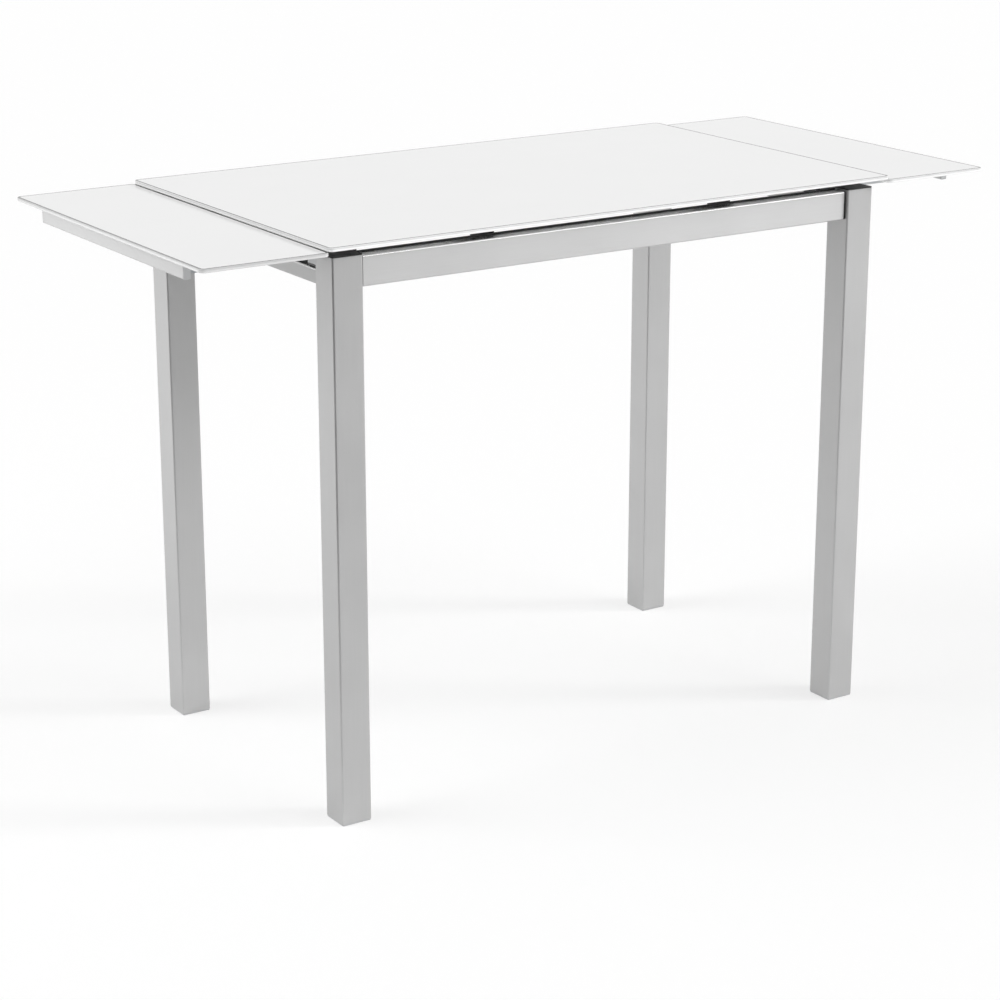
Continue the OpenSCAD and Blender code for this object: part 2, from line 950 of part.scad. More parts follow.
leg_front_left();
leg_front_right();
leg_rear_left();
leg_rear_right();
leg_caps();
foot_plugs();
front_apron();
rear_apron();
apron_end_plugs();
left_side_rail();
right_side_rail();
side_rail_end_plugs();
rubber_strips();
corner_bracket_front_left();
corner_bracket_front_right();
corner_bracket_rear_left();
corner_bracket_rear_right();
leg_bolts();
apron_bolts();
side_rail_bolts();
rivet_nuts();
front_guide_angle();
rear_guide_angle();
angle_screws();
guide_front_left();
guide_front_right();
guide_rear_left();
guide_rear_right();
guide_screws();
guide_bushes();
support_blocks();
left_flat_bar();
right_flat_bar();
flat_bar_screws();
glass_pads();
middle_glass();
left_leaf_glass();
left_end_bar();
left_end_bar_caps();
left_end_tape();
left_front_rail();
left_rear_rail();
left_front_carrier();
left_rear_carrier();
left_rail_shoes();
left_leaf_pads();
right_leaf_glass();
right_end_bar();
right_end_bar_caps();
right_end_tape();
right_front_rail();
right_rear_rail();
right_front_carrier();
right_rear_carrier();
right_rail_shoes();
right_leaf_pads();
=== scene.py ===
import math

import bmesh
import bpy
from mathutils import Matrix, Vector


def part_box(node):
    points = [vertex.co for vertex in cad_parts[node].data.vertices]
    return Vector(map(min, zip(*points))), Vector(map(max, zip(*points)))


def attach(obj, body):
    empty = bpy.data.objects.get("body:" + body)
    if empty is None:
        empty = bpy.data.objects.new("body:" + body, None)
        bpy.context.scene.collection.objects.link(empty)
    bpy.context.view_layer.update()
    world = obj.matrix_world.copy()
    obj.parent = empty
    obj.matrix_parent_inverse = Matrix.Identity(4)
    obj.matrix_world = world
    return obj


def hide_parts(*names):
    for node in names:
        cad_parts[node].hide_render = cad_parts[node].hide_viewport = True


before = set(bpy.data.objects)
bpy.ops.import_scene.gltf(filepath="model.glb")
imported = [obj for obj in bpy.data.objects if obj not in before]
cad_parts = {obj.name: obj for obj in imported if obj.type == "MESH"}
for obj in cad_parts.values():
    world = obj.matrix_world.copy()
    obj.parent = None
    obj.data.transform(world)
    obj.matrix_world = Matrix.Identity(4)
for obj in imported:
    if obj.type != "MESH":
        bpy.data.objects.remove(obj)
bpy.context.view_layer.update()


# Legs
# Four square tubes of cold-rolled steel, 44 mm with a 1.5 mm wall. They are cut square, belt-ground along
# their length and plated to a satin silver. Bolts through the corner brackets hold them to the rails.
leg_wall = 0.0015
leg_corner = 0.0025
cut_arris = 0.0003
least_corner = 0.0002
smooth_up_to = math.radians(40)


def linear(colour):
    """An sRGB hex colour such as "C4C5C7" as the linear colour that a shader takes."""
    parts = [int(colour[i:i + 2], 16) / 255 for i in (0, 2, 4)]
    return [p / 12.92 if p <= 0.04045 else ((p + 0.055) / 1.055) ** 2.4 for p in parts] + [1]


def shader_node(tree, kind, sockets=(), **settings):
    """Adds one node. Settings are its own properties; sockets are values, or outputs to link from. A map
    range has its old limits at 1 and 2 and the new ones at 3 and 4, a colour mix its colours at 6 and 7."""
    made = tree.nodes.new(kind)
    for key, value in settings.items():
        setattr(made, key, value)
    for key, value in dict(sockets).items():
        if isinstance(value, bpy.types.NodeSocket):
            tree.links.new(value, made.inputs[key])
        else:
            made.inputs[key].default_value = value
    return made


def satin_steel(name, grain, dull, bright, smoothest=0.5, roughest=0.58):
    """Belt-ground steel under clear plating: a soft silver with fine lines along the tube. A 180 grit belt
    leaves lines about 0.1 mm wide; they are drawn 1.2 mm wide, or they wouldn't show from this distance."""
    # Most of the two noises' sum lies between these limits.
    most_of_both = {1: 0.7, 2: 1.3}
    finish = bpy.data.materials.new(name)
    finish.use_nodes = True
    tree = finish.node_tree
    shader = tree.nodes["Principled BSDF"]
    shader.inputs["Metallic"].default_value = 1
    place = shader_node(tree, "ShaderNodeTexCoord").outputs["Object"]
    along = shader_node(tree, "ShaderNodeMapping", {"Vector": place, "Scale": grain})
    lines = shader_node(tree, "ShaderNodeTexNoise", {"Vector": along.outputs[0], "Scale": 1, "Detail": 3})
    cloud = shader_node(tree, "ShaderNodeTexNoise", {"Vector": place, "Scale": 9, "Detail": 2})
    mixed = shader_node(tree, "ShaderNodeMath", {0: lines.outputs[0], 1: cloud.outputs[0]}, operation="ADD")
    tone = shader_node(tree, "ShaderNodeMapRange", {0: mixed.outputs[0], **most_of_both, 3: 0, 4: 1})
    colour = shader_node(tree, "ShaderNodeMix", {
        0: tone.outputs[0], 6: linear(dull), 7: linear(bright)}, data_type="RGBA")
    tree.links.new(colour.outputs[2], shader.inputs["Base Color"])
    gloss = shader_node(tree, "ShaderNodeMapRange", {
        0: mixed.outputs[0], **most_of_both, 3: smoothest, 4: roughest})
    tree.links.new(gloss.outputs[0], shader.inputs["Roughness"])
    relief = shader_node(tree, "ShaderNodeBump", {
        "Height": lines.outputs[0], "Strength": 0.04, "Distance": 0.0002})
    tree.links.new(relief.outputs[0], shader.inputs["Normal"])
    return finish


def rounded_outline(width, depth, corner, steps=6):
    """Points round a centred rectangle with round corners."""
    outline = []
    for quarter in range(4):
        side_w = 1 if quarter in (0, 3) else -1
        side_d = 1 if quarter < 2 else -1
        for step in range(steps + 1):
            turn = math.pi / 2 * (quarter + step / steps)
            outline.append((
                side_w * (width / 2 - corner) + corner * math.cos(turn),
                side_d * (depth / 2 - corner) + corner * math.sin(turn)))
    return outline


def ring_at(axis, low, high, along, inset, corner, steps=6):
    """One ring of a piece that fills the box low to high and runs along axis 0, 1 or 2."""
    u, v = [i for i in range(3) if i != axis]
    outline = rounded_outline(
        high[u] - low[u] - 2 * inset, high[v] - low[v] - 2 * inset, max(corner - inset, least_corner), steps)
    ring = []
    for across_u, across_v in outline:
        point = [0, 0, 0]
        point[axis] = along
        point[u] = (low[u] + high[u]) / 2 + across_u
        point[v] = (low[v] + high[v]) / 2 + across_v
        ring.append(point)
    return ring


def tube_rings(axis, low, high, wall, corner):
    """A tube's rings: outside from end to end with a broken edge at each cut, and back along the inside."""
    start, end = low[axis], high[axis]
    stations = [
        (start, cut_arris), (start + cut_arris, 0), (end - cut_arris, 0), (end, cut_arris),
        (end, wall), (start, wall)]
    return [ring_at(axis, low, high, along, inset, corner) for along, inset in stations]


def skin(name, shells, finishes):
    """A mesh object from shells. Each shell is (rings, hollow): a hollow one closes on its first ring, and a
    solid one has a flat face at each end."""
    work = bmesh.new()
    for rings, hollow in shells:
        grown = [[work.verts.new(point) for point in ring] for ring in rings]
        count = len(grown[0])
        pairs = list(zip(grown, grown[1:]))
        if hollow:
            pairs.append((grown[-1], grown[0]))
        else:
            work.faces.new(grown[0])
            work.faces.new(grown[-1])
        for near, far in pairs:
            for i in range(count):
                work.faces.new([near[i], near[(i + 1) % count], far[(i + 1) % count], far[i]])
    bmesh.ops.recalc_face_normals(work, faces=work.faces)
    mesh = bpy.data.meshes.new(name)
    work.to_mesh(mesh)
    work.free()
    for finish in finishes:
        mesh.materials.append(finish)
    mesh.shade_smooth()
    mesh.set_sharp_from_angle(angle=smooth_up_to)
    piece = bpy.data.objects.new(name, mesh)
    bpy.context.scene.collection.objects.link(piece)
    flats = piece.modifiers.new("flat faces stay flat", "WEIGHTED_NORMAL")
    flats.keep_sharp = True
    return piece


across_lines = 800
along_lines = 10
upright_grain = (across_lines, across_lines, along_lines)
upright_steel = satin_steel("satin steel, ground upright", upright_grain, "BBBBBB", "C1C1C1")
corners = ("front_left", "front_right", "rear_left", "rear_right")
legs = {corner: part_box("leg_" + corner) for corner in corners}
for corner, (low, high) in legs.items():
    rings = tube_rings(2, low, high, leg_wall, leg_corner)
    leg = skin("leg_tube_" + corner, [(rings, True)], [upright_steel])
    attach(leg, "frame")
    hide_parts("leg_" + corner)


# Leg caps
# Flat black nylon caps, injection-moulded with a 1.5 mm rim and a square skirt, pressed into the leg tops.
# Their rims show as a dark line between the satin legs and the white glass.
cap_edge = 0.0006
skirt_depth = 0.015
skirt_side_gap = 0.0017
skirt_wall = 0.002
skirt_corner = 0.001
# Most of a noise lies between these limits.
most_of_noise = {1: 0.3, 2: 0.7}


def moulded_nylon(name, shade):
    """Nylon 6 from a spark-eroded mould: half matt, with a fine even grain and slight flow marks. The real
    grain is about 0.1 mm; it is drawn at 0.7 mm."""
    finish = bpy.data.materials.new(name)
    finish.use_nodes = True
    tree = finish.node_tree
    shader = tree.nodes["Principled BSDF"]
    shader.inputs["IOR"].default_value = 1.53
    place = shader_node(tree, "ShaderNodeTexCoord").outputs["Object"]
    grain = shader_node(tree, "ShaderNodeTexNoise", {"Vector": place, "Scale": 1400, "Detail": 2})
    flow = shader_node(tree, "ShaderNodeTexNoise", {"Vector": place, "Scale": 30, "Detail": 3})
    colour = shader_node(tree, "ShaderNodeMix", {
        0: flow.outputs[0], 6: linear(shade[0]), 7: linear(shade[1])}, data_type="RGBA")
    tree.links.new(colour.outputs[2], shader.inputs["Base Color"])
    gloss = shader_node(tree, "ShaderNodeMapRange", {0: flow.outputs[0], **most_of_noise, 3: 0.42, 4: 0.56})
    tree.links.new(gloss.outputs[0], shader.inputs["Roughness"])
    relief = shader_node(tree, "ShaderNodeBump", {
        "Height": grain.outputs[0], "Strength": 0.2, "Distance": 0.0001})
    tree.links.new(relief.outputs[0], shader.inputs["Normal"])
    return finish


def moulded_rings(axis, low, high, corner, edge, steps=3):
    """A solid block's rings, with its end edges rounded by edge as they come from a mould."""
    rings = []
    for end, way in ((low[axis], 1), (high[axis], -1)):
        bend = []
        for step in range(steps + 1):
            turn = math.pi / 2 * step / steps
            inset, along = edge * (1 - math.sin(turn)), end + way * edge * (1 - math.cos(turn))
            bend.append(ring_at(axis, low, high, along, inset, corner))
        rings += bend if way == 1 else bend[::-1]
    return rings


def part_of_box(axis, low, high, near, far, inset=0):
    """The part of a box from near to far along an axis, with its sides moved in by inset."""
    part_low = [value + inset for value in low]
    part_high = [value - inset for value in high]
    part_low[axis], part_high[axis] = near, far
    return part_low, part_high


black_nylon = moulded_nylon("black nylon, spark-eroded grain", ("0F0F10", "161617"))
cap_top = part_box("leg_caps")[1].z
cap_shells = []
for low, high in legs.values():
    rim = part_of_box(2, low, high, high.z, cap_top)
    cap_shells.append((moulded_rings(2, *rim, leg_corner, cap_edge), False))
    skirt = part_of_box(2, low, high, high.z - skirt_depth, high.z, skirt_side_gap)
    cap_shells.append((tube_rings(2, *skirt, skirt_wall, skirt_corner), True))
leg_caps = skin("leg_cap_mouldings", cap_shells, [black_nylon])
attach(leg_caps, "frame")
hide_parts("leg_caps")


# Foot plugs
# The same moulding upside down, in grey nylon: a square plug with a 2 mm rim that keeps the cut tube end off
# the floor. The rim stands back half a millimetre from the tube's faces.
grey_nylon = moulded_nylon("grey nylon, spark-eroded grain", ("B4B5B6", "BDBEBF"))
foot_inset = 0.0005
foot_shells = []
for low, high in legs.values():
    rim = part_of_box(2, low, high, 0, low.z, foot_inset)
    foot_shells.append((moulded_rings(2, *rim, leg_corner - foot_inset, cap_edge), False))
    skirt = part_of_box(2, low, high, low.z, low.z + skirt_depth, skirt_side_gap)
    foot_shells.append((tube_rings(2, *skirt, skirt_wall, skirt_corner), True))
foot_plugs = skin("foot_plug_mouldings", foot_shells, [grey_nylon])
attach(foot_plugs, "frame")
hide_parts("foot_plugs")


# Aprons
# Two rectangular steel tubes, 40 x 20 mm, that join the legs along the long sides. They are ground
# lengthways and plated like the legs, so the lines run along the table.
rail_corner = 0.002
rail_wall = 0.0015
least_lean = 0.05
arris_gloss = {"smoothest": 0.24, "roughest": 0.32}


def ground_tube(name, axis, low, high, finishes):
    """A tube whose sides have the first finish. Its top and upper round corners have the second, a lighter
    and glossier copy of the steel that is a painted highlight."""
    tube = skin(name, [(tube_rings(axis, low, high, rail_wall, rail_corner), True)], finishes)
    for face in tube.data.polygons:
        # Faces that lean upwards get the painted highlight.
        if face.normal.z > least_lean:
            face.material_index = 1
    return tube


lengthways = (along_lines, across_lines, across_lines)
# Painted light: the aprons' steel is a lighter copy of the legs' steel, and their tops get a painted
# highlight.
lengthways_steel_painted_lighter = satin_steel("satin steel, ground lengthways", lengthways, "CDCDCD", "D3D3D3")
lengthways_painted_highlight = satin_steel("bright lengthways arris", lengthways, "F2F2F2", "FAFAFA", **arris_gloss)
for side in ("front", "rear"):
    low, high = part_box(side + "_apron")
    apron = ground_tube(side + "_apron_tube", 0, low, high, [lengthways_steel_painted_lighter, lengthways_painted_highlight])
    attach(apron, "frame")
    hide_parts(side + "_apron")


# Apron end plugs
# Black nylon blocks that close the apron tubes. Their rims fill the 2.5 mm between apron and leg and show as
# a narrow dark joint.
rim_inset = 0.0005
rim_corner = 0.0015
tongue_inset = 0.0017
tongue_depth = 0.010
tongue_corner = 0.0005
plug_edge = 0.0004


def end_plug(axis, low, high, tube_end, leg_face):
    """A plug's shells: its rim fills the gap between tube and leg, and its tongue is inside the tube."""
    way_in = 1 if leg_face < tube_end else -1
    rim = part_of_box(axis, low, high, *sorted((tube_end, leg_face)), rim_inset)
    tongue_end = tube_end + way_in * tongue_depth
    tongue = part_of_box(axis, low, high, *sorted((tube_end, tongue_end)), tongue_inset)
    return [
        (moulded_rings(axis, *rim, rim_corner, plug_edge), False),
        (moulded_rings(axis, *tongue, tongue_corner, plug_edge), False)]


plug_shells = []
for side in ("front", "rear"):
    low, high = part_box(side + "_apron")
    plug_shells += end_plug(0, low, high, low.x, legs[side + "_left"][1].x)
    plug_shells += end_plug(0, low, high, high.x, legs[side + "_right"][0].x)
apron_plugs = skin("apron_plug_mouldings", plug_shells, [black_nylon])
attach(apron_plugs, "frame")
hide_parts("apron_end_plugs")


# Side rails
# Two 20 mm square steel tubes between the legs at the table's ends. They sit low, so the end bars of the
# leaves can come in above them, and they are ground crossways, which is along the tube.
crossways = (across_lines, along_lines, across_lines)
# Painted shade: the side rails' steel is a darker copy of the legs' steel, for the shade under the leaves,
# and their tops get a painted highlight.
crossways_steel_painted_darker = satin_steel("satin steel, ground crossways", crossways, "B4B4B4", "BABABA")
crossways_painted_highlight = satin_steel("bright crossways arris", crossways, "CCCCCC", "D4D4D4", **arris_gloss)
for side in ("left", "right"):
    low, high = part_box(side + "_side_rail")
    rail = ground_tube(side + "_side_rail_tube", 1, low, high, [crossways_steel_painted_darker, crossways_painted_highlight])
    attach(rail, "frame")
    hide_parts(side + "_side_rail")


# Side rail end plugs
# The aprons' plugs in a square size, moulded from the same black nylon. Their rims fill the gaps between the
# side rails and the legs.
side_plug_shells = []
for side in ("left", "right"):
    low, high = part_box(side + "_side_rail")
    side_plug_shells += end_plug(1, low, high, low.y, legs["front_" + side][1].y)
    side_plug_shells += end_plug(1, low, high, high.y, legs["rear_" + side][0].y)
side_plugs = skin("side_rail_plug_mouldings", side_plug_shells, [black_nylon])
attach(side_plugs, "frame")
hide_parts("side_rail_end_plugs")


# Rubber strips
# Black rubber strips, 17 x 2 mm, cut from a roll and laid along the tops of the side rails. The tongues of
# the guide angles rest on them, and they make the rails' top faces read as black.
strip_edge = 0.0005
strip_inset = 0.0015


def strip_rubber():
    """EPDM strip: black with a grey bloom, fully matt, faint lines from the die along its length. The die
    lines are 0.2 mm apart and are drawn 1 mm apart."""
    finish = bpy.data.materials.new("black rubber, extruded strip")
    finish.use_nodes = True
    tree = finish.node_tree
    shader = tree.nodes["Principled BSDF"]
    shader.inputs["Roughness"].default_value = 0.78
    shader.inputs["IOR"].default_value = 1.5
    place = shader_node(tree, "ShaderNodeTexCoord").outputs["Object"]
    along = shader_node(tree, "ShaderNodeMapping", {"Vector": place, "Scale": (1000, 20, 1000)})
    die = shader_node(tree, "ShaderNodeTexNoise", {"Vector": along.outputs[0], "Scale": 1, "Detail": 1})
    bloom = shader_node(tree, "ShaderNodeTexNoise", {"Vector": place, "Scale": 45, "Detail": 4})
    colour = shader_node(tree, "ShaderNodeMix", {
        0: bloom.outputs[0], 6: linear("101011"), 7: linear("1B1B1C")}, data_type="RGBA")
    tree.links.new(colour.outputs[2], shader.inputs["Base Color"])
    relief = shader_node(tree, "ShaderNodeBump", {
        "Height": die.outputs[0], "Strength": 0.3, "Distance": 0.0001})
    tree.links.new(relief.outputs[0], shader.inputs["Normal"])
    return finish


rubber = strip_rubber()
strip_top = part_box("rubber_strips")[1].z
strip_shells = []
for side in ("left", "right"):
    low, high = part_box(side + "_side_rail")
    strip = ((low.x + strip_inset, low.y, high.z), (high.x - strip_inset, high.y, strip_top))
    strip_shells.append((moulded_rings(1, *strip, strip_edge, strip_edge), False))
strips = skin("rubber_strip_lengths", strip_shells, [rubber])
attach(strips, "frame")
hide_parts("rubber_strips")


# Corner brackets and guide angles
# Bent steel strip, 3 and 2.5 mm thick, punched and powder-coated black. A bracket is bent round the inner
# corner of each leg. An angle is screwed along each apron and carries a guide. The CAD shapes stay.
def powder_coat():
    """Baked polyester powder: black, half matt, with the slight orange peel of a thick coat. The peel is
    about 1 mm from dimple to dimple and is drawn at 1.4 mm."""
    finish = bpy.data.materials.new("black powder coat on steel")
    finish.use_nodes = True
    tree = finish.node_tree
    shader = tree.nodes["Principled BSDF"]
    shader.inputs["IOR"].default_value = 1.52
    place = shader_node(tree, "ShaderNodeTexCoord").outputs["Object"]
    peel = shader_node(tree, "ShaderNodeTexVoronoi", {"Vector": place, "Scale": 700}, feature="SMOOTH_F1")
    film = shader_node(tree, "ShaderNodeTexNoise", {"Vector": place, "Scale": 60, "Detail": 3})
    colour = shader_node(tree, "ShaderNodeMix", {
        0: film.outputs[0], 6: linear("131314"), 7: linear("1C1C1E")}, data_type="RGBA")
    tree.links.new(colour.outputs[2], shader.inputs["Base Color"])
    gloss = shader_node(tree, "ShaderNodeMapRange", {0: film.outputs[0], **most_of_noise, 3: 0.36, 4: 0.5})
    tree.links.new(gloss.outputs[0], shader.inputs["Roughness"])
    relief = shader_node(tree, "ShaderNodeBump", {
        "Height": peel.outputs[0], "Strength": 0.15, "Distance": 0.0002})
    tree.links.new(relief.outputs[0], shader.inputs["Normal"])
    return finish


def dress(finish, *nodes):
    """Gives CAD nodes that stay in view a finish through their material slots."""
    for node in nodes:
        for material_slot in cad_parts[node].material_slots:
            material_slot.material = finish


black_coat = powder_coat()
dress(black_coat, *["corner_bracket_" + corner for corner in corners])
dress(black_coat, "front_guide_angle", "rear_guide_angle")


# Bolts, screws and rivet nuts
# Cold-headed steel with hexagon sockets, zinc-plated and passivated. The bolts draw the brackets to the
# rivet nuts, and the screws hold the angles, the guides and the flat bars. The CAD shapes stay.
def zinc_plate(name):
    """Bright zinc with a clear passivation: a cool light grey metal, patchy where the film varies. The
    patches are 5 to 10 mm across; the crystals of the plating are too fine to draw."""
    middle_of_noise = {1: 0.35, 2: 0.65}
    finish = bpy.data.materials.new(name)
    finish.use_nodes = True
    tree = finish.node_tree
    shader = tree.nodes["Principled BSDF"]
    shader.inputs["Metallic"].default_value = 1
    place = shader_node(tree, "ShaderNodeTexCoord").outputs["Object"]
    film = shader_node(tree, "ShaderNodeTexNoise", {"Vector": place, "Scale": 140, "Detail": 4})
    tone = shader_node(tree, "ShaderNodeMapRange", {0: film.outputs[0], **middle_of_noise, 3: 0, 4: 1})
    colour = shader_node(tree, "ShaderNodeMix", {
        0: tone.outputs[0], 6: linear("AEB2B7"), 7: linear("C3C4C2")}, data_type="RGBA")
    tree.links.new(colour.outputs[2], shader.inputs["Base Color"])
    gloss = shader_node(tree, "ShaderNodeMapRange", {
        0: film.outputs[0], **middle_of_noise, 3: 0.28, 4: 0.42})
    tree.links.new(gloss.outputs[0], shader.inputs["Roughness"])
    return finish


bright_zinc = zinc_plate("bright zinc on steel")
dress(bright_zinc, "leg_bolts", "apron_bolts", "side_rail_bolts", "rivet_nuts")
dress(bright_zinc, "angle_screws", "guide_screws", "flat_bar_screws")


# Guides
# Four short aluminium profiles, 25 x 22 mm with a 2 mm wall, extruded and clear-anodised, one beside each
# leg. A rail runs in the upper chamber, and the slot along the inner side lets its carrier through.
def anodised_aluminium():
    """Clear-anodised extrusion: pale grey metal, softly matt, with die lines along its length. The lines are
    0.1 to 0.3 mm apart and are drawn 1 mm apart."""
    finish = bpy.data.materials.new("clear-anodised aluminium extrusion")
    finish.use_nodes = True
    tree = finish.node_tree
    shader = tree.nodes["Principled BSDF"]
    shader.inputs["Metallic"].default_value = 1
    place = shader_node(tree, "ShaderNodeTexCoord").outputs["Object"]
    along = shader_node(tree, "ShaderNodeMapping", {"Vector": place, "Scale": (3, 1000, 1000)})
    die = shader_node(tree, "ShaderNodeTexNoise", {"Vector": along.outputs[0], "Scale": 1, "Detail": 2})
    colour = shader_node(tree, "ShaderNodeMix", {
        0: die.outputs[0], 6: linear("CFD1D3"), 7: linear("DEDFE0")}, data_type="RGBA")
    tree.links.new(colour.outputs[2], shader.inputs["Base Color"])
    gloss = shader_node(tree, "ShaderNodeMapRange", {0: die.outputs[0], **most_of_noise, 3: 0.38, 4: 0.5})
    tree.links.new(gloss.outputs[0], shader.inputs["Roughness"])
    relief = shader_node(tree, "ShaderNodeBump", {
        "Height": die.outputs[0], "Strength": 0.15, "Distance": 0.0001})
    tree.links.new(relief.outputs[0], shader.inputs["Normal"])
    return finish


dress(anodised_aluminium(), *["guide_" + corner for corner in corners])


# Guide bushes, rail shoes and support blocks
# Moulded nylon. The bushes line the guides, and their pale grey collars show over the side rails. The shoes
# close the rails' inner ends, and black blocks carry the flat bars. The CAD shapes stay.
dress(grey_nylon, "guide_bushes")
dress(black_nylon, "left_rail_shoes", "right_rail_shoes", "support_blocks")


# Flat bars and bonding pads
# Two 40 x 6 mm steel flats, powder-coated black, carry the middle glass on round rubber pads. The same pads
# and a thin strip of tape fix the leaf glass to its carriers and end bar. The CAD shapes stay.
dress(black_coat, "left_flat_bar", "right_flat_bar")
dress(rubber, "glass_pads", "left_leaf_pads", "right_leaf_pads", "left_end_tape", "right_end_tape")


# Sliding rails and carriers
# Rectangular steel tubes, 15 x 8.5 mm, and bent steel strips welded along them, zinc-plated together. The
# CAD shapes stay.
for side in ("left", "right"):
    dress(bright_zinc, side + "_front_rail", side + "_rear_rail")
    dress(bright_zinc, side + "_front_carrier", side + "_rear_carrier")


# End bars
# A 20 x 10 mm steel tube stands on edge under the outer end of each leaf, ground along its length and plated
# like the legs. A thin grey cap closes each end.
bar_cap = 0.0015
# Painted light: the end bars' steel is a lighter copy of the legs' steel, and their tops get a painted
# highlight.
bar_steel_painted_lighter = satin_steel("satin steel, ground along the bar", crossways, "CACACA", "D0D0D0")
bar_painted_highlight = satin_steel("bright arris of the bar", crossways, "E6E6E6", "F0F0F0", **arris_gloss)
for side in ("left", "right"):
    low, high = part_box(side + "_end_bar")
    bar = ground_tube(side + "_end_bar_tube", 1, low, high, [bar_steel_painted_lighter, bar_painted_highlight])
    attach(bar, side + "_leaf")
    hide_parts(side + "_end_bar")
    cap_shells = []
    for near, far in ((low.y - bar_cap, low.y), (high.y, high.y + bar_cap)):
        cap = part_of_box(1, low, high, near, far)
        cap_shells.append((moulded_rings(1, *cap, rail_corner, plug_edge), False))
    for near, far in ((low.y, low.y + tongue_depth), (high.y - tongue_depth, high.y)):
        tongue = part_of_box(1, low, high, near, far, tongue_inset)
        cap_shells.append((moulded_rings(1, *tongue, tongue_corner, plug_edge), False))
    caps = skin(side + "_end_bar_cap_mouldings", cap_shells, [grey_nylon])
    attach(caps, side + "_leaf")
    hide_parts(side + "_end_bar_caps")


# Glass plates
# Three plates of 5 mm toughened float glass with polished edges. White enamel is fired onto the underside,
# up to 3 mm from the rim. So the top is an even, glossy white inside a thin grey line of clear glass, and
# the edge is a pale grey line over a white one.
glass_corner = 0.008
glass_corner_steps = 12
glass_arris = 0.0007
clear_rim = 0.003
edge_bands = (0.16, 0.5, 0.58, 0.85)
nearly_level = 0.99
edge_slot, back_slot, rim_slot = 1, 2, 3


def enamelled_glass():
    """The face: white enamel seen through clear glass. Float glass is flat, so only a faint clouding of the
    enamel, 60 to 120 mm across, and a trace of wiping in the gloss break it up."""
    finish = bpy.data.materials.new("white enamelled glass")
    finish.use_nodes = True
    tree = finish.node_tree
    shader = tree.nodes["Principled BSDF"]
    shader.inputs["IOR"].default_value = 1.52
    place = shader_node(tree, "ShaderNodeTexCoord").outputs["Object"]
    cloud = shader_node(tree, "ShaderNodeTexNoise", {"Vector": place, "Scale": 12, "Detail": 2})
    colour = shader_node(tree, "ShaderNodeMix", {
        0: cloud.outputs[0], 6: linear("E7E7E7"), 7: linear("E9E9E9")}, data_type="RGBA")
    tree.links.new(colour.outputs[2], shader.inputs["Base Color"])
    wiping = shader_node(tree, "ShaderNodeMapping", {"Vector": place, "Scale": (8, 60, 8)})
    trace = shader_node(tree, "ShaderNodeTexNoise", {"Vector": wiping.outputs[0], "Scale": 1, "Detail": 3})
    gloss = shader_node(tree, "ShaderNodeMapRange", {
        0: trace.outputs[0], **most_of_noise, 3: 0.06, 4: 0.08})
    tree.links.new(gloss.outputs[0], shader.inputs["Roughness"])
    return finish


def clear_glass_rim():
    """The rim that the enamel leaves free: clear glass over shade, a grey with the same gloss. The grey
    wavers slightly where the print's edge does, every 20 to 40 mm."""
    finish = bpy.data.materials.new("clear glass rim")
    finish.use_nodes = True
    tree = finish.node_tree
    shader = tree.nodes["Principled BSDF"]
    shader.inputs["IOR"].default_value = 1.52
    shader.inputs["Roughness"].default_value = 0.08
    place = shader_node(tree, "ShaderNodeTexCoord").outputs["Object"]
    waver = shader_node(tree, "ShaderNodeTexNoise", {"Vector": place, "Scale": 35, "Detail": 2})
    colour = shader_node(tree, "ShaderNodeMix", {
        0: waver.outputs[0], 6: linear("505150"), 7: linear("5E5F5E")}, data_type="RGBA")
    tree.links.new(colour.outputs[2], shader.inputs["Base Color"])
    return finish


def polished_edge(name, low, high, shades):
    """The edge: pale grey glass, darker along both arrises, with the white enamel showing through its lower
    part. The wheel leaves lines along the edge about 0.05 mm apart, drawn 0.5 mm apart."""
    finish = bpy.data.materials.new(name)
    finish.use_nodes = True
    tree = finish.node_tree
    shader = tree.nodes["Principled BSDF"]
    shader.inputs["IOR"].default_value = 1.52
    shader.inputs["Roughness"].default_value = 0.16
    place = shader_node(tree, "ShaderNodeTexCoord").outputs["Object"]
    height = shader_node(tree, "ShaderNodeSeparateXYZ", {0: place})
    share = shader_node(tree, "ShaderNodeMapRange", {0: height.outputs[2], 1: low, 2: high, 3: 0, 4: 1})
    bands = shader_node(tree, "ShaderNodeValToRGB", {0: share.outputs[0]})
    stops = bands.color_ramp.elements
    stops[0].position, stops[0].color = 0, linear(shades[0])
    stops[1].position, stops[1].color = 1, linear(shades[-1])
    for position, colour in zip(edge_bands, shades[1:-1]):
        stops.new(position).color = linear(colour)
    wheel = shader_node(tree, "ShaderNodeMapping", {"Vector": place, "Scale": (12, 12, 2000)})
    lines = shader_node(tree, "ShaderNodeTexNoise", {"Vector": wheel.outputs[0], "Scale": 1, "Detail": 1})
    relief = shader_node(tree, "ShaderNodeBump", {
        "Height": lines.outputs[0], "Strength": 0.1, "Distance": 0.00005})
    tree.links.new(bands.outputs[0], shader.inputs["Base Color"])
    tree.links.new(relief.outputs[0], shader.inputs["Normal"])
    return finish


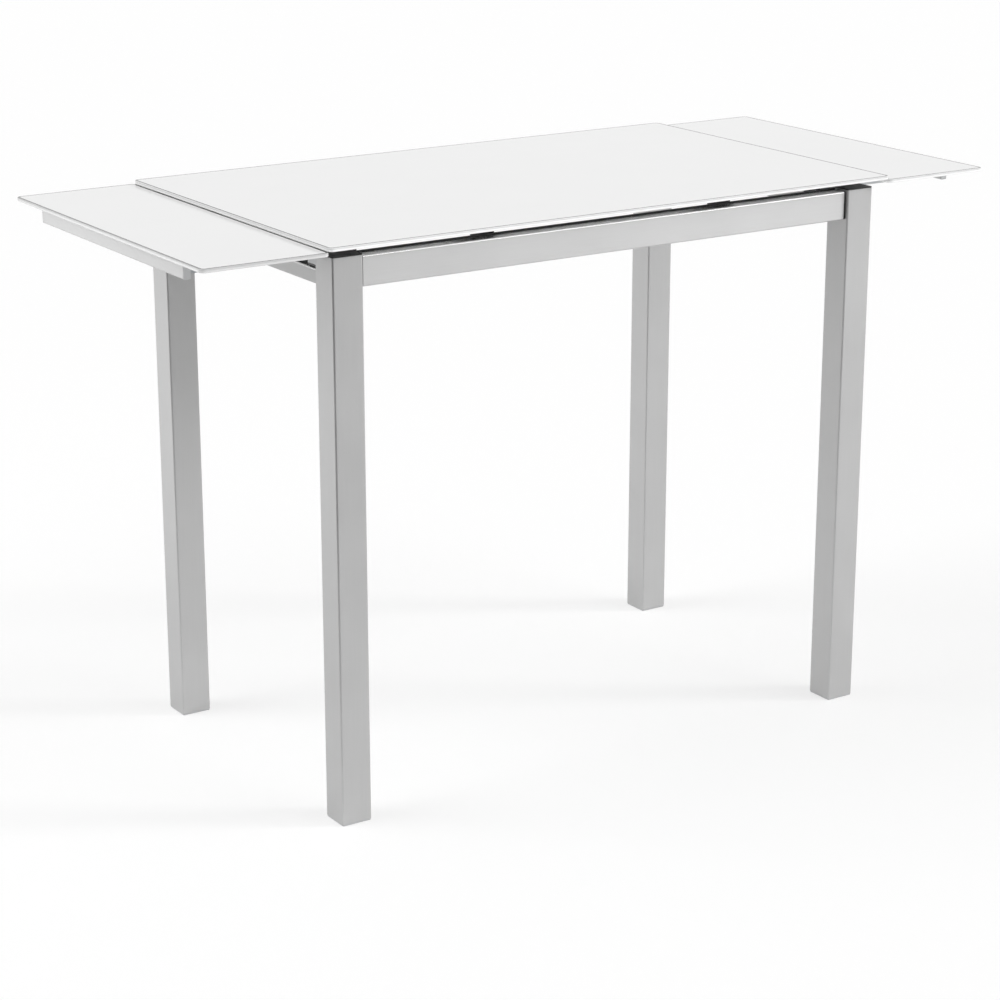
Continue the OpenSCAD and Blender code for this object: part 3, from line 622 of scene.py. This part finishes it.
def enamel_back():
    """The underside: the enamel itself, white, half matt, with the fine ripple of a roller coat. The ripple
    is about 0.5 mm and is drawn at 2 mm."""
    finish = bpy.data.materials.new("white enamel, roller-coated")
    finish.use_nodes = True
    tree = finish.node_tree
    shader = tree.nodes["Principled BSDF"]
    shader.inputs["Roughness"].default_value = 0.55
    place = shader_node(tree, "ShaderNodeTexCoord").outputs["Object"]
    ripple = shader_node(tree, "ShaderNodeTexNoise", {"Vector": place, "Scale": 500, "Detail": 2})
    cloud = shader_node(tree, "ShaderNodeTexNoise", {"Vector": place, "Scale": 14, "Detail": 3})
    colour = shader_node(tree, "ShaderNodeMix", {
        0: cloud.outputs[0], 6: linear("E2E3E2"), 7: linear("EAEAE9")}, data_type="RGBA")
    tree.links.new(colour.outputs[2], shader.inputs["Base Color"])
    relief = shader_node(tree, "ShaderNodeBump", {
        "Height": ripple.outputs[0], "Strength": 0.2, "Distance": 0.0001})
    tree.links.new(relief.outputs[0], shader.inputs["Normal"])
    return finish


glass_face = enamelled_glass()
glass_back = enamel_back()
glass_rim = clear_glass_rim()
# The left leaf's edge is the same glass as the others; its deeper grey is painted shade. Each runs from
# bottom to top.
pale_edge = ("F0F0F0", "FCFCFC", "FAFAFA", "E2E2E2", "E0E0E0", "DFDFDF")
painted_shade_edge = ("C1C1C1", "DEDEDE", "DADADA", "CBCBCB", "C7C7C7", "B7B7B7")
for node, body, shades in (
        ("middle_glass", "frame", pale_edge),
        ("left_leaf_glass", "left_leaf", painted_shade_edge),
        ("right_leaf_glass", "right_leaf", pale_edge)):
    low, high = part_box(node)
    edge = polished_edge(node.replace("_", " ") + ", polished edge", low.z, high.z, shades)
    stations = [
        (low.z, glass_arris), (low.z + glass_arris, 0), (high.z - glass_arris, 0), (high.z, glass_arris),
        (high.z, glass_arris + clear_rim)]
    rings = [
        ring_at(2, low, high, along, inset, glass_corner, glass_corner_steps) for along, inset in stations]
    plate = skin(node + "_plate", [(rings, False)], [glass_face, edge, glass_back, glass_rim])
    for face in plate.data.polygons:
        if face.normal.z < -nearly_level:
            face.material_index = back_slot
        elif face.normal.z < nearly_level:
            face.material_index = edge_slot
        elif len(face.vertices) == 4:
            face.material_index = rim_slot
    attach(plate, body)
    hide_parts(node)


# Studio
# A pale paper floor and an even white surround, lit softly from the front and the left, with a panel near
# the left legs and a low light from the right that throws the feet's shadows. What mirrors in the steel gets
# dark out past the front left corner, and that draws the legs' arrises.
# Directions from the table to the darkest part of the floor, and of the surround close above it.
dark_side = (-0.82, -0.57, 0)
dark_foot = (-0.58, -0.4, -0.71)


def straight_seen(tree, rays, in_camera, in_gloss):
    """in_camera for what the camera sees, straight or through glass, in_gloss for what mirrors, else 0."""
    clear = shader_node(tree, "ShaderNodeMath", {
        0: rays.outputs["Is Camera Ray"], 1: rays.outputs["Is Transmission Ray"]}, operation="MAXIMUM")
    seen = shader_node(tree, "ShaderNodeMath", {0: clear.outputs[0], 1: in_camera}, operation="MULTIPLY")
    gloss = shader_node(tree, "ShaderNodeMath", {
        0: rays.outputs["Is Glossy Ray"], 1: in_gloss}, operation="MULTIPLY")
    return shader_node(tree, "ShaderNodeMath", {
        0: seen.outputs[0], 1: gloss.outputs[0]}, operation="MAXIMUM").outputs[0]


def darker_in_gloss(tree, rays, place, side, near, far, darkest):
    """1, but for glossy rays it falls in the direction side, from 1 at near to darkest at far."""
    towards = shader_node(tree, "ShaderNodeVectorMath", {0: place, 1: side}, operation="DOT_PRODUCT")
    fade = shader_node(tree, "ShaderNodeMapRange", {
        0: towards.outputs["Value"], 1: near, 2: far, 3: 1, 4: darkest}, interpolation_type="SMOOTHSTEP")
    other = shader_node(tree, "ShaderNodeMath", {
        0: 1, 1: rays.outputs["Is Glossy Ray"]}, operation="SUBTRACT")
    return shader_node(tree, "ShaderNodeMath", {
        0: fade.outputs[0], 1: other.outputs[0]}, operation="MAXIMUM").outputs[0]


surround = bpy.data.worlds.new("studio surround")
surround.use_nodes = True
bpy.context.scene.world = surround
tree = surround.node_tree
tree.nodes.clear()
rays = shader_node(tree, "ShaderNodeLightPath")
direction = shader_node(tree, "ShaderNodeTexCoord").outputs["Generated"]
fill = shader_node(tree, "ShaderNodeBackground", {"Color": linear("FFFFFF"), "Strength": 0.55})
seen_strength = darker_in_gloss(tree, rays, direction, dark_foot, near=0.5, far=0.72, darkest=0.05)
seen = shader_node(tree, "ShaderNodeBackground", {"Color": linear("FFFFFF"), "Strength": seen_strength})
both = shader_node(tree, "ShaderNodeMixShader", {
    0: straight_seen(tree, rays, in_camera=1, in_gloss=1), 1: fill.outputs[0], 2: seen.outputs[0]})
shader_node(tree, "ShaderNodeOutputWorld", {"Surface": both.outputs[0]})

floor_reach = 60
floor_mesh = bpy.data.meshes.new("floor")
floor_mesh.from_pydata(
    [(-floor_reach, -floor_reach, 0), (floor_reach, -floor_reach, 0),
     (floor_reach, floor_reach, 0), (-floor_reach, floor_reach, 0)], [], [(0, 1, 2, 3)])
floor = bpy.data.objects.new("floor", floor_mesh)
bpy.context.scene.collection.objects.link(floor)
paper_floor = bpy.data.materials.new("pale studio floor")
paper_floor.use_nodes = True
tree = paper_floor.node_tree
tree.nodes.clear()
rays = shader_node(tree, "ShaderNodeLightPath")
place = shader_node(tree, "ShaderNodeTexCoord").outputs["Object"]
pool = darker_in_gloss(tree, rays, place, dark_side, near=0.6, far=1.6, darkest=0.05)
shade = shader_node(tree, "ShaderNodeMix", {
    0: pool, 6: linear("000000"), 7: linear("FEFEFE")}, data_type="RGBA")
matt = shader_node(tree, "ShaderNodeBsdfDiffuse", {"Color": shade.outputs[2]})
lit = shader_node(tree, "ShaderNodeEmission", {"Color": linear("FFFFFF"), "Strength": pool})
both = shader_node(tree, "ShaderNodeMixShader", {
    0: straight_seen(tree, rays, in_camera=0.6, in_gloss=0.3), 1: matt.outputs[0], 2: lit.outputs[0]})
shader_node(tree, "ShaderNodeOutputMaterial", {"Surface": both.outputs[0]})
floor_mesh.materials.append(paper_floor)

for name, energy, spread, tip, turn in (
        ("front key", 0.6, 40, 50, 40),
        ("left light", 1.0, 40, 52, -112),
        ("low right light", 1.1, 12, 70, 57)):
    lamp_data = bpy.data.lights.new(name, "SUN")
    lamp_data.energy = energy
    lamp_data.angle = math.radians(spread)
    lamp = bpy.data.objects.new(name, lamp_data)
    lamp.rotation_euler = (math.radians(tip), 0, math.radians(turn))
    bpy.context.scene.collection.objects.link(lamp)
panel_data = bpy.data.lights.new("left panel", "AREA")
panel_data.energy = 2.2
panel_data.size = 0.9
panel = bpy.data.objects.new("left panel", panel_data)
panel.location = (-1.4, 1.0, 0.42)
panel.rotation_euler = (math.radians(90), 0, math.radians(-125))
panel.visible_camera = False
bpy.context.scene.collection.objects.link(panel)


# Camera
# The photograph's place and lens, fitted to the table's feet, leg tops, corners and seams. The photograph
# keeps uprights parallel with a shifted lens; here the camera is tipped down instead, by 17 degrees.
tipped_down = 0.3022
turned = -0.5776
camera_data = bpy.data.cameras.new("camera")
camera_data.sensor_width = 36
camera_data.lens = 95.53
camera = bpy.data.objects.new("camera", camera_data)
camera.location = (-2.0130, -3.0547, 1.4509)
camera.rotation_euler = (math.pi / 2 - tipped_down, 0, turned)
bpy.context.scene.collection.objects.link(camera)
bpy.context.scene.camera = camera
bpy.context.scene.view_settings.view_transform = "Standard"
